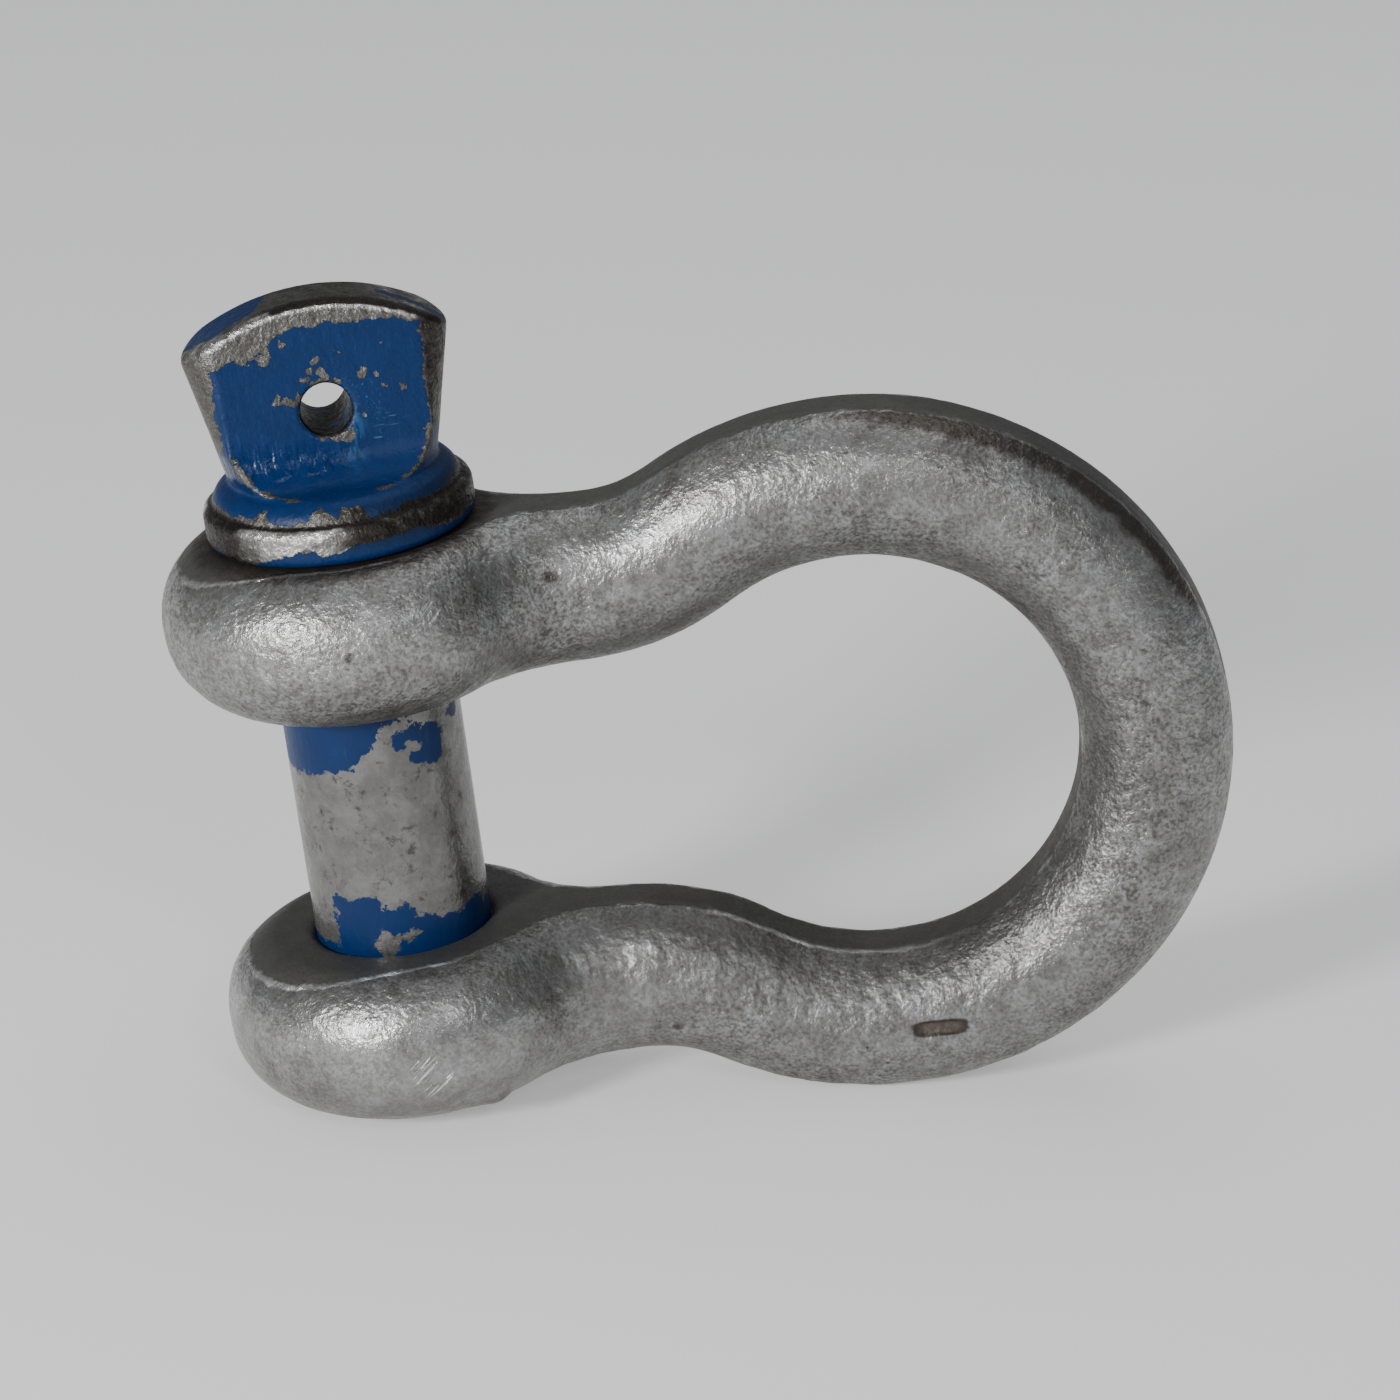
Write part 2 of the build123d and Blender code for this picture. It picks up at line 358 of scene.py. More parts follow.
def group(name, inputs, outputs):
    """An empty node group with named number, vector or colour sockets."""
    kinds = {"number": "NodeSocketFloat", "vector": "NodeSocketVector", "colour": "NodeSocketColor"}
    tree = bpy.data.node_groups.new(name, "ShaderNodeTree")
    for label, kind in inputs.items():
        tree.interface.new_socket(label, in_out="INPUT", socket_type=kinds[kind])
    for label, kind in outputs.items():
        tree.interface.new_socket(label, in_out="OUTPUT", socket_type=kinds[kind])
    given = tree.nodes.new("NodeGroupInput").outputs
    made = tree.nodes.new("NodeGroupOutput").inputs
    return tree, given, made


# The zinc coat: pebbled relief, mottled and clouded tone, painted shade in the grain's hollows,
# grime and a few dark specks
zinc_dark = (0.265, 0.26, 0.249, 1)
zinc_light = (0.395, 0.402, 0.406, 1)
zinc_clouded = (0.17, 0.157, 0.137, 1)
painted_shade_dark = (0.085, 0.08, 0.072, 1)
brown_grime = (0.035, 0.029, 0.023, 1)
dark_specks = (0.02, 0.02, 0.02, 1)
zinc_coat, given, made = group(
    "zinc_coat",
    {"Place": "vector", "Grain": "number", "Hollow shade": "number", "Grime": "number", "Mottling": "number"},
    {"Color": "colour", "Roughness": "number", "Height": "number"},
)
fine = wire(zinc_coat, "ShaderNodeVectorMath", {0: given["Place"]}, operation="SCALE")
zinc_coat.links.new(counted(zinc_coat, "DIVIDE", 1.0, given["Grain"]), fine.inputs["Scale"])
pebble = grain(zinc_coat, fine.outputs[0], 0.76, 3.0, 0.58)
lump = grain(zinc_coat, fine.outputs[0], 2.4, 2.0, 0.5)
mottle = grain(zinc_coat, given["Place"], 4.0, 5.0, 0.65, 0.3)
cloud = grain(zinc_coat, given["Place"], 22.0, 3.0, 0.5)
speck = grain(zinc_coat, given["Place"], 1.7, 3.0, 0.6, 0.2)
relief = counted(zinc_coat, "MULTIPLY_ADD", lump, 1.7, counted(zinc_coat, "MULTIPLY", pebble, 0.8))
zinc_coat.links.new(relief, made["Height"])
tint = counted(zinc_coat, "SUBTRACT", mottle, 0.5)
tint = counted(zinc_coat, "MULTIPLY_ADD", tint, given["Mottling"], 0.5)
tone = blended(zinc_coat, eased(zinc_coat, tint, 0.25, 0.75), zinc_dark, zinc_light)
clouded = counted(zinc_coat, "MULTIPLY", eased(zinc_coat, cloud, 0.42, 0.7, 0.0, 0.5), given["Mottling"])
tone = blended(zinc_coat, clouded, tone, zinc_clouded)
hollows = counted(zinc_coat, "MULTIPLY_ADD", lump, 0.35, pebble)
hollow_shade = counted(zinc_coat, "MULTIPLY", eased(zinc_coat, hollows, 0.92, 0.42), given["Hollow shade"])
tone = blended(zinc_coat, hollow_shade, tone, painted_shade_dark)
grimy = counted(zinc_coat, "MULTIPLY", eased(zinc_coat, mottle, 0.62, 0.38), given["Grime"])
tone = blended(zinc_coat, grimy, tone, brown_grime)
tone = blended(zinc_coat, eased(zinc_coat, speck, 0.69, 0.75, 0.0, 0.7), tone, dark_specks)
zinc_coat.links.new(tone, made["Color"])
sheen = counted(zinc_coat, "MULTIPLY_ADD", mottle, 0.16, 0.175)
sheen = counted(zinc_coat, "MULTIPLY_ADD", hollow_shade, 0.25, sheen)
zinc_coat.links.new(counted(zinc_coat, "MULTIPLY_ADD", grimy, 0.25, sheen), made["Roughness"])


def new_material(name, colour):
    """A material with its Principled shader, and the colour that stands for it in plain views."""
    material = bpy.data.materials.new(name)
    material.use_nodes = True
    material.diffuse_color = colour
    tree = material.node_tree
    return material, tree, tree.nodes["Principled BSDF"]


def field(tree, name, kind="Fac"):
    """What the mesh keeps at each point under the name: a number, or a place with the kind Vector."""
    return wire(tree, "ShaderNodeAttribute", attribute_name=name).outputs[kind]


dust_dark = (0.10, 0.097, 0.092, 1)
dust_light = (0.22, 0.215, 0.205, 1)
dust_grains = (0.06, 0.058, 0.054, 1)
burnished_highlight_zinc = (0.66, 0.66, 0.65, 1)
glinting_rim_zinc = (0.78, 0.78, 0.76, 1)
scratched_zinc = (0.72, 0.72, 0.72, 1)
scale_dark = (0.04, 0.028, 0.02, 1)
scale_worn = (0.17, 0.145, 0.12, 1)
brown_soil_and_shade = (0.04, 0.031, 0.022, 1)
bow_bump = 0.18 * mm

galvanised, tree, shader = new_material("galvanised_forging", (0.3, 0.3, 0.3, 1))
where = field(tree, "place", "Vector")
rim_glint_boost = field(tree, "near_rim_glint")
pebbly_zinc = field(tree, "pebbly")
ragged = counted(tree, "MULTIPLY_ADD", grain(tree, where, 1.6, 3.0, 0.6), 1.6, -0.8)
ragged = counted(tree, "MULTIPLY", ragged, counted(tree, "MULTIPLY_ADD", rim_glint_boost, -0.4, 1.0))
edge_of_flat = counted(tree, "ADD", field(tree, "off_flat"), ragged)
on_flat = eased(tree, edge_of_flat, 0.25, -0.25)

# The coat itself, with painted shade in the hollows of its grain, deeper in patches
leather_patches = eased(tree, grain(tree, where, 14.0, 2.0, 0.5), 0.3, 0.65, 0.75, 1.15)
leather = counted(tree, "MULTIPLY", field(tree, "leathery"), leather_patches)
coat = wire(tree, "ShaderNodeGroup", node_tree=zinc_coat)
tree.links.new(where, coat.inputs["Place"])
tree.links.new(counted(tree, "MULTIPLY", leather, 0.85), coat.inputs["Hollow shade"])
coat.inputs["Grain"].default_value = 0.62
coat.inputs["Grime"].default_value = 0.1
coat.inputs["Mottling"].default_value = 1.0

# Grey dust on the pressed flats
dust_speckle = counted(tree, "MULTIPLY", grain(tree, where, 0.45, 2.0, 0.6), 0.7)
dust = blended(tree, grain(tree, where, 2.2, 5.0, 0.7), dust_dark, dust_light)
dust = blended(tree, dust_speckle, dust, dust_grains)
colour = blended(tree, counted(tree, "MULTIPLY", on_flat, 0.9), coat.outputs["Color"], dust)

# Painted shade with rougher zinc, and zinc rubbed bright with a painted highlight, both in patches
shade_patches = eased(tree, grain(tree, where, 6.0, 4.0, 0.6), 0.3, 0.7, 0.25, 0.65)
shade_and_dull_zinc = counted(tree, "MULTIPLY", field(tree, "shaded_dull"), shade_patches)
colour = blended(tree, shade_and_dull_zinc, colour, painted_shade_dark)
bright_patches = eased(tree, grain(tree, where, 5.0, 5.0, 0.65), 0.35, 0.65, 0.25, 1.0)
high_spots = eased(tree, grain(tree, where, 0.6, 3.0, 0.7), 0.42, 0.6, 0.3, 1.1)
bright_zinc_highlight = counted(tree, "MULTIPLY", field(tree, "burnished_highlight"), bright_patches)
bright_zinc_highlight = counted(tree, "MULTIPLY", bright_zinc_highlight, counted(tree, "SUBTRACT", 1.0, on_flat))
bright_zinc_highlight = counted(tree, "MULTIPLY", bright_zinc_highlight, high_spots)
colour = blended(tree, counted(tree, "MULTIPLY", bright_zinc_highlight, 0.5), colour, burnished_highlight_zinc)

# The flats' rims, rubbed bright with a painted highlight in patches, and nearly all along on the near
# rims that face upwards
from_rim = counted(tree, "ABSOLUTE", counted(tree, "SUBTRACT", edge_of_flat, 0.2))
rim_patches = eased(tree, grain(tree, where, 4.0, 4.0, 0.65), 0.5, 0.64, 0.0, 0.5)
rim_patches = counted(tree, "MULTIPLY_ADD", rim_glint_boost, 0.4, rim_patches)
rim_patches = counted(tree, "MINIMUM", rim_patches, 1.0)
rim_glint_mask = counted(tree, "MULTIPLY", eased(tree, from_rim, 0.55, 0.1), rim_patches)
colour = blended(tree, counted(tree, "MULTIPLY", rim_glint_mask, 0.75), colour, glinting_rim_zinc)

# Dark scale in the dent, worn on its floor, brown dirt, and painted shade round the collar's foot
in_dent = field(tree, "dent")
dark_dent = eased(tree, counted(tree, "MULTIPLY_ADD", ragged, 0.3, in_dent), 0.25, 0.5, 0.0, 0.9)
worn_dent = counted(tree, "MULTIPLY", eased(tree, in_dent, 0.6, 0.95), grain(tree, where, 0.7, 3.0, 0.7))
colour = blended(tree, dark_dent, colour, blended(tree, worn_dent, scale_dark, scale_worn))
soiled_and_shaded = counted(tree, "MULTIPLY_ADD", ragged, 0.5, field(tree, "soil_and_shade"))
colour = blended(tree, eased(tree, soiled_and_shaded, 0.3, 0.85, 0.0, 0.82), colour, brown_soil_and_shade)

# Slanting scratches on the ears' fronts
slanted = drawn_out(tree, where, (1, 1, 1), (0, math.radians(41), 0))
slanted = drawn_out(tree, slanted, (0.12, 0.12, 2.4))
scratch = eased(tree, grain(tree, slanted, 1.0, 2.0, 0.5), 0.56, 0.62)
scratch = counted(tree, "MULTIPLY", scratch, field(tree, "scratched"))
colour = blended(tree, counted(tree, "MULTIPLY", scratch, 0.85), colour, scratched_zinc)
tree.links.new(colour, shader.inputs["Base Color"])

roughness = coat.outputs["Roughness"]
duller = [(on_flat, 0.2), (shade_and_dull_zinc, 0.12), (pebbly_zinc, 0.1)]
glossier = [(bright_zinc_highlight, -0.04), (rim_glint_mask, -0.2)]
for share, step in duller + glossier:
    roughness = counted(tree, "MULTIPLY_ADD", share, step, roughness)
tree.links.new(roughness, shader.inputs["Roughness"])

cells = grain(tree, drawn_out(tree, where, (1.0, 1.0, 0.7)), 1.5, 1.0, 0.4)
lip = counted(tree, "MULTIPLY", rim_glint_mask, rim_glint_boost)
coat_share = counted(tree, "MULTIPLY_ADD", on_flat, -0.65, leather)
relief = counted(tree, "MULTIPLY", coat.outputs["Height"], coat_share)
relief = counted(tree, "MULTIPLY_ADD", scratch, -0.5, relief)
relief = counted(tree, "MULTIPLY_ADD", counted(tree, "MULTIPLY", cells, pebbly_zinc), 2.1, relief)
relief = counted(tree, "MULTIPLY_ADD", lip, 1.2, relief)
bump = wire(tree, "ShaderNodeBump", {"Strength": 1.0, "Distance": bow_bump, "Height": relief})
tree.links.new(bump.outputs[0], shader.inputs["Normal"])
tree.links.new(counted(tree, "MULTIPLY_ADD", lip, -0.35, 0.8), shader.inputs["Metallic"])
bow.data.materials.clear()
bow.data.materials.append(galvanised)
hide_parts("bow")
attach(bow, "bow")


# Screw pin
# One forging: paddle with an eye, skirt, collar, shank and cut thread. It was galvanised and then dipped
# in blue paint, which is left where nothing rubs, and is worn to the zinc along the edges and on the
# shank. Heights on the head are in millimetres above the ear.
seat = 36.3
head_mesh_size = 0.29 * mm
shank_radius = 11.0
shank_step = 0.42
shank_overlap = 1.6
thread_end = -17.9
collar_seam = 4.8
neck_reach = 15.0
skirt_top = 7.3
neck_radius = 12.7
neck_flare = 0.2147
saddle_top = 12.5
saddle_radius = 5.0
face_half_low = 6.3
crest_centre = 3.0
crest_radius = 26.2
eye_edge = 3.2
face_left = -13.0
face_right = 12.3
bare_under_crest = 2.7

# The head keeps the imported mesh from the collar's foot up. The shank is made anew with its thread.
pin = own_mesh(frame["nodes"]["screw_pin"], "screw_pin_forging")
work = bmesh.new()
work.from_mesh(pin.data)
collar_foot = pin_middle + pin_up * (seat + 0.01) * mm
everything = work.verts[:] + work.edges[:] + work.faces[:]
cut = bmesh.ops.bisect_plane(work, geom=everything, plane_co=collar_foot, plane_no=pin_up, clear_inner=True)
cut_edges = [e for e in cut["geom_cut"] if isinstance(e, bmesh.types.BMEdge)]
bmesh.ops.holes_fill(work, edges=cut_edges, sides=0)
work.to_mesh(pin.data)
work.free()
evenly_meshed(pin, head_mesh_size, 3)
skin = points(pin.data)
outward = points(pin.data, "normal")
head_rise = 0.05 * lumps(skin, 9 * mm, 53) + 0.03 * lumps(skin, 3.2 * mm, 61)
above_foot = ramp(in_shackle(skin)[:, 2], seat + 0.6, seat + 2.0)
moved(pin.data, skin + outward * (head_rise * above_foot * mm)[:, None])

shank_rows = int((seat - thread_end) / shank_step)
shank_rings = [(thread_end + (i + 1) * shank_step, shank_radius) for i in range(shank_rows)]
shank_rings = shank_rings + [(seat + shank_overlap, shank_radius)]
shank = threaded_bar("pin_shank", -outer_face, thread_end, 0.0, shank_rings, 2.4)
combined(pin, shank, "UNION")
pin.data.shade_smooth()
pin.data.set_sharp_from_angle(angle=math.radians(40))

skin = points(pin.data)
outward = points(pin.data, "normal")
place = in_shackle(skin)
eye_axis = mounts["eye"]["axis"]
eye_height = in_shackle(np.array(mounts["eye"]["pos_m"]))[2] - seat
head_sine = -eye_axis[0] * to_crown[0] - eye_axis[2] * to_crown[2]
head_cosine = eye_axis[1]
along_face = place[:, 0] * head_cosine + place[:, 1] * head_sine
off_face = -place[:, 0] * head_sine + place[:, 1] * head_cosine
above_ear = place[:, 2] - seat
around = np.degrees(np.arctan2(place[:, 1], place[:, 0]))
arc = np.radians(around) * shank_radius
from_axis = np.hypot(place[:, 0], place[:, 1])
from_crest = crest_radius - np.hypot(along_face, above_ear - crest_centre)
from_eye = np.hypot(along_face, above_ear - eye_height) - eye_edge
camera_side = off_face < 0

# Paint left on the paddle's face, as the distance in millimetres inside the edge of the painted area
more_at_right = 1.5 * ramp(along_face, 3, 12)
bay_at_left = 1.5 * np.exp(-(((along_face + 7.6) / 2.4) ** 2))
face_top = from_crest - bare_under_crest + more_at_right - bay_at_left
on_face = np.minimum(face_top, np.minimum(along_face - face_left, face_right - along_face))

# Paint left on the skirt and the collar, above and below the collar's worn band. The band's edges are
# heights by degrees round the pin from the crown's side, and the upper one counts from the seam.
band_turns = (-180, -157, -150, -141, -132, -125, -114, -103, -97, -90, -82, -76, -61, -48, -38)
band_turns = band_turns + (-20, 60, 130, 180)
band_low = (0.6, 0.9, 1.1, 0.3, -0.2, 0.4, 1.2, 2.0, 2.4, 1.4, 2.1, 2.5, 2.6, 2.8, 1.5, 1.3, 2.4, 1.8, 0.6)
band_low = np.interp(around, band_turns, band_low)
skirt_turns = (-180, -157, -143, -129, -121, -118, -115, -108, -102, -99, -95, -91, -87, -84, -81, -72, -69)
skirt_turns = skirt_turns + (-64, -56, -50, -38, -15, 40, 120, 180)
band_high = (1.1, 0.8, 0.6, 1.0, 2.0, 1.3, 0.4, 0.4, 0.7, 0.2, 1.6, 2.0, 0.9, 0.4, 1.8, 1.5, 0.3)
band_high = band_high + (0.8, 0.2, 1.0, 0.6, 0.5, 1.2, 0.4, 1.1)
band_high = collar_seam + np.interp(around, skirt_turns, band_high)
on_skirt = np.maximum(band_low - above_ear, np.minimum(above_ear - band_high, 12.0 - above_ear))
painted = np.maximum(on_skirt, np.minimum(on_face, above_ear - band_high))

# Paint left on the crest: it keeps to the far side of the left slope, and a streak lies on the right one
left_along = (-15.6, -15.1, -12.5, -10.5, -9.3, -7.0, -5.2, -4.6)
left_border = (1.2, 0.2, -2.6, -3.0, -2.2, -1.8, 1.8, 4.5)
left_patch = np.minimum(off_face - np.interp(along_face, left_along, left_border), -4.8 - along_face)
right_patch = np.minimum(0.9 - np.abs(off_face - 0.6 + 0.25 * (along_face - 8)), along_face - 8.2)
crest_patch = np.minimum(np.maximum(left_patch, right_patch), 3.9 - off_face)
crest_patch = np.minimum(crest_patch, 3.0 * (0.5 - from_crest))
painted = np.maximum(painted, crest_patch)

# The crease where the paddle's hollow meets the neck is rubbed bright
neck_surface = neck_radius + neck_flare * (above_ear - skirt_top) - from_axis
fall = np.clip(saddle_top - above_ear, 0, saddle_radius)
hollow_out = face_half_low + saddle_radius - np.sqrt(saddle_radius**2 - fall**2)
crease = np.abs(neck_surface) + np.abs(hollow_out - np.abs(off_face))
in_crease = (above_ear > 7.2) & (above_ear < 12.8)
painted = np.where(in_crease, np.minimum(painted, crease - 0.55), painted)

# Chips knocked out of the face, with torn edges: along the paddle, above the ear, radius
chips = [
    (-9.1, 23.8, 0.9), (-6.4, 23.3, 0.8), (-6.2, 24.6, 0.7), (-7.8, 24.2, 0.7), (-4.2, 24.8, 0.6),
    (-0.3, 22.3, 0.5), (-2.0, 20.1, 0.4), (-1.2, 21.0, 0.4), (0.0, 20.7, 0.6), (0.2, 19.7, 0.9),
    (1.4, 19.3, 0.6), (-1.0, 19.4, 0.7), (-2.9, 18.2, 0.65), (-3.0, 18.9, 0.45), (-3.9, 17.8, 0.65),
    (-4.6, 18.3, 0.5), (-5.6, 18.2, 0.6), (5.0, 20.1, 0.5), (7.7, 23.0, 0.4), (6.3, 19.5, 0.35),
    (7.2, 18.1, 0.35), (9.5, 17.8, 0.35), (2.4, 22.9, 0.3), (-1.0, 13.1, 0.4), (0.4, 12.8, 0.5),
    (1.5, 12.7, 0.5), (2.5, 12.8, 0.4), (4.4, 15.0, 0.3),
]
torn_along = along_face + 0.55 * lumps(skin, 0.9 * mm, 71)
torn_height = above_ear + 0.55 * lumps(skin, 0.9 * mm, 83)
for chip_along, chip_height, chip_radius in chips:
    from_chip = np.hypot(torn_along - chip_along, torn_height - chip_height) - chip_radius
    painted = np.where(camera_side, np.minimum(painted, 1.3 * from_chip), painted)

# The eye is bare inside and round its rim
painted = np.minimum(painted, 1.6 * from_eye)

# Paint left on the shank: the lower edge of the upper patch and the upper edge of the lower one,
# as height in millimetres from the middle of the jaw, by degrees round the pin from the crown's side
upper_turns = (-180, -139, -109, -101, -94, -86, -82, -78, -66, -56, -46, -20, 30, 90, 150, 180)
upper_edge = (7.5, 7.0, 7.9, 8.4, 9.8, 10.7, 12.2, 13.6, 13.9, 14.6, 15.6, 15.0, 12.5, 14.0, 9.5, 7.5)
lower_turns = (-180, -131, -105, -98, -95, -80, -71, -58, -42, -22, -16, 20, 80, 130, 180)
lower_edge = (-9, -9, -8.7, -9.4, -10.4, -10.2, -11.9, -12.4, -12.8, -12.3, -14, -13, -15, -11, -9)
lower_left_turn = -129
lower_rear_turn = 158
whole_below = -15.6
half_turn = 1.5


def above_edge(turns, edge):
    """How far each point lies above the edge curve, measured across the curve."""
    steepness = np.interp(around + half_turn, turns, edge) - np.interp(around - half_turn, turns, edge)
    steepness = steepness / (math.radians(2 * half_turn) * shank_radius)
    return (place[:, 2] - np.interp(around, turns, edge)) / np.sqrt(1 + steepness**2)


def inside_oval(middle_turn, middle_height, half_arc, half_height):
    """How far inside an oval patch of the shank each point lies."""
    away_round = (arc - math.radians(middle_turn) * shank_radius) / half_arc
    away_up = (place[:, 2] - middle_height) / half_height
    return (1 - np.hypot(away_round, away_up)) * min(half_arc, half_height)


from_left = arc - math.radians(lower_left_turn) * shank_radius
from_right = math.radians(lower_rear_turn) * shank_radius - arc
between_limits = np.where(arc < 0, from_left, from_right)
lower_paint = np.minimum(-above_edge(lower_turns, lower_edge), 0.9 * between_limits)
lower_paint = np.maximum(lower_paint, whole_below - place[:, 2])
on_shank = np.maximum(above_edge(upper_turns, upper_edge), lower_paint)
for kept_oval in ((-60, 11.2, 2.6, 1.5), (-49, 9.8, 2.7, 2.6), (-19, 12.3, 1.0, 2.0)):
    on_shank = np.maximum(on_shank, inside_oval(*kept_oval))
for bare_oval in ((-58, 9.9, 1.2, 0.6), (-93, -15.2, 1.6, 1.7), (-86, -14.2, 1.5, 0.7)):
    on_shank = np.minimum(on_shank, -inside_oval(*bare_oval))

# In the upper ear the paint is nearly whole, and on the thread it is left in the groove
on_shank = np.where(place[:, 2] > inner_face, 0.5 + 0.4 * ramp(place[:, 2], 20, 30), on_shank)
on_shank = np.where(place[:, 2] < thread_end, 0.9 - 1.5 * ramp(from_axis, 9.6, 10.7), on_shank)
set_field(pin.data, "painted", np.where(above_ear < -0.02, on_shank, painted))
set_field(pin.data, "head_place", np.stack((along_face, off_face, above_ear), 1))
set_field(pin.data, "smooth_shank", np.where(above_ear < 0, 1.0, 0.0))

# Black dirt on the crest with a darker band along its near edge, on the collar's right and left and down
# the paddle's right side, and painted shade in the seam above the collar and in the eye
on_crest = ramp(from_crest, 0.7, 0.3) * (above_ear > 15)
black_band = ramp(off_face, -4.9, -4.3) * ramp(off_face, -2.2, -3.6) * ramp(along_face, -7, -3)
collar_right = ramp(around, -100, -70) * ramp(above_ear, 7.0, 6.0) * ramp(above_ear, 1.0, 2.5)
collar_right = collar_right * ramp(around, 60, 0)
collar_left = ramp(around, -122, -137) * ramp(above_ear, 5.6, 5.0) * ramp(above_ear, 0.2, 0.6)
collar_left = collar_left * ramp(around, -179, -158)
right_side = 0.55 * ramp(along_face, 11.3, 12.8) * (above_ear > 8)
seam = np.exp(-(((above_ear - collar_seam) / 0.22) ** 2)) * (from_axis > 14)
in_eye = np.where((from_eye < 0.15) & (above_ear > 8), 0.7, 0.0)
crest_dirt = on_crest * (0.42 + 0.58 * black_band)
collar_dirt = 0.8 * (collar_right + collar_left)
set_field(pin.data, "soot_and_shade", np.maximum.reduce((crest_dirt, collar_dirt, right_side, seam, in_eye)))

# Painted highlight on the roundings that stand out, where the zinc is also polished smoother, and on the
# collar's front
upward = outward @ np.array(pin_up)
on_rounding = ramp(np.minimum(upward, np.sqrt(np.clip(1 - upward**2, 0, 1))), 0.2, 0.5)
polish_highlight = on_rounding * ((above_ear > 15) | ((above_ear > 3) & (above_ear < collar_seam)))
on_collar = (above_ear > 0.5) & (above_ear < collar_seam) & (from_axis > neck_reach)
polish_highlight = np.maximum(polish_highlight, 0.55 * np.exp(-(((around + 100) / 22) ** 2)) * on_collar)
set_field(pin.data, "polish_highlight", polish_highlight)


def oval_mask(middle_along, middle_height, half_along, half_height, whole):
    """A mask of an oval on the paddle's face, which fades outward from a share of its size."""
    away = np.hypot((along_face - middle_along) / half_along, (above_ear - middle_height) / half_height)
    return ramp(away, 1.0, whole)


# Marks in the face's paint: thick runs in its hollow, level scores at its right, and pale dots and a
# lighter rubbed patch beside the eye
in_saddle = ramp(above_ear, 7.6, 9.5) * ramp(above_ear, 15.0, 11.0) * ramp(along_face, 6, -3)
set_field(pin.data, "in_saddle", in_saddle)
scored = np.maximum(oval_mask(7.6, 14.3, 3.4, 1.6, 0.5), oval_mask(6.8, 11.6, 2.2, 1.2, 0.5))
set_field(pin.data, "scored", scored * camera_side)
set_field(pin.data, "rubbed", oval_mask(2.4, 13.5, 2.6, 6.0, 0.3) * camera_side)
set_field(pin.data, "dotted", 0.12 + 0.88 * oval_mask(3.4, 15.6, 5.0, 6.5, 0.4))

# Chipped paint: the distance inside the painted area's edge, made ragged, becomes a crisp mask
chipped_paint, given, made = group(
    "chipped_paint",
    {"Place": "vector", "Inside": "number", "Raggedness": "number"},
    {"Mask": "number"},
)
coarse_tear = counted(chipped_paint, "SUBTRACT", grain(chipped_paint, given["Place"], 2.6, 3.0, 0.55), 0.5)
small_tear = counted(chipped_paint, "SUBTRACT", grain(chipped_paint, given["Place"], 0.7, 4.0, 0.75), 0.5)
small_tear = counted(chipped_paint, "MULTIPLY", small_tear, 1.9)
tear = counted(chipped_paint, "MULTIPLY_ADD", coarse_tear, 2.6, small_tear)
inside = counted(chipped_paint, "MULTIPLY_ADD", tear, given["Raggedness"], given["Inside"])
chipped_paint.links.new(eased(chipped_paint, inside, -0.04, 0.04), made["Mask"])

paint_dark = (0.0005, 0.016, 0.076, 1)
paint_light = (0.0010, 0.026, 0.113, 1)
paint_streaks = (0.01, 0.07, 0.21, 1)
paint_rubbed = (0.02, 0.115, 0.26, 1)
paint_dots = (0.02, 0.13, 0.30, 1)
paint_scores = (0.09, 0.19, 0.31, 1)
paint_sooty_and_shaded = (0.004, 0.012, 0.03, 1)
worn_zinc = (0.10, 0.095, 0.085, 1)
dark_scuffs = (0.06, 0.055, 0.05, 1)
polished_highlight_zinc = (0.84, 0.83, 0.80, 1)
black_dirt_and_shade = (0.022, 0.018, 0.014, 1)
pin_bump = 0.1 * mm

blue_paint, tree, shader = new_material("worn_blue_paint", (0.01, 0.09, 0.35, 1))
where = field(tree, "head_place", "Vector")
smooth = field(tree, "smooth_shank")
saddle = field(tree, "in_saddle")
coat = wire(tree, "ShaderNodeGroup", node_tree=zinc_coat)
tree.links.new(where, coat.inputs["Place"])
tree.links.new(counted(tree, "MULTIPLY_ADD", smooth, 0.4, 0.5), coat.inputs["Grain"])
# Painted shade in the hollows of the grain, much less on the smooth shank
tree.links.new(counted(tree, "MULTIPLY_ADD", smooth, -0.85, 1.0), coat.inputs["Hollow shade"])
tree.links.new(counted(tree, "MULTIPLY_ADD", smooth, -0.6, 0.9), coat.inputs["Mottling"])
coat.inputs["Grime"].default_value = 0.3
paint = wire(tree, "ShaderNodeGroup", node_tree=chipped_paint)
tree.links.new(where, paint.inputs["Place"])
tree.links.new(field(tree, "painted"), paint.inputs["Inside"])
tree.links.new(counted(tree, "MULTIPLY_ADD", smooth, 0.5, 0.75), paint.inputs["Raggedness"])
mask = paint.outputs["Mask"]

# The paint: uneven tone, upright streaks, a rubbed patch, pale dots and level scores
faded = grain(tree, where, 3.5, 4.0, 0.6, 0.5)
drawn_up = drawn_out(tree, where, (1.0, 1.0, 0.16))
streak = grain(tree, drawn_up, 0.7, 3.0, 0.6)
rubbed = counted(tree, "MULTIPLY", field(tree, "rubbed"), eased(tree, streak, 0.42, 0.62))
dots = eased(tree, grain(tree, where, 0.32, 2.0, 0.6), 0.60, 0.72)
dots = counted(tree, "MULTIPLY", dots, field(tree, "dotted"))
level = drawn_out(tree, where, (0.5, 1.0, 4.5))
scores = eased(tree, grain(tree, level, 1.0, 3.0, 0.6), 0.60, 0.68)
scores = counted(tree, "MULTIPLY", scores, field(tree, "scored"))
paint_tone = blended(tree, faded, paint_dark, paint_light)
paint_tone = blended(tree, eased(tree, streak, 0.6, 0.78, 0.0, 0.4), paint_tone, paint_streaks)
paint_tone = blended(tree, counted(tree, "MULTIPLY", rubbed, 0.55), paint_tone, paint_rubbed)
paint_tone = blended(tree, counted(tree, "MULTIPLY", dots, 0.6), paint_tone, paint_dots)
paint_tone = blended(tree, counted(tree, "MULTIPLY", scores, 0.7), paint_tone, paint_scores)
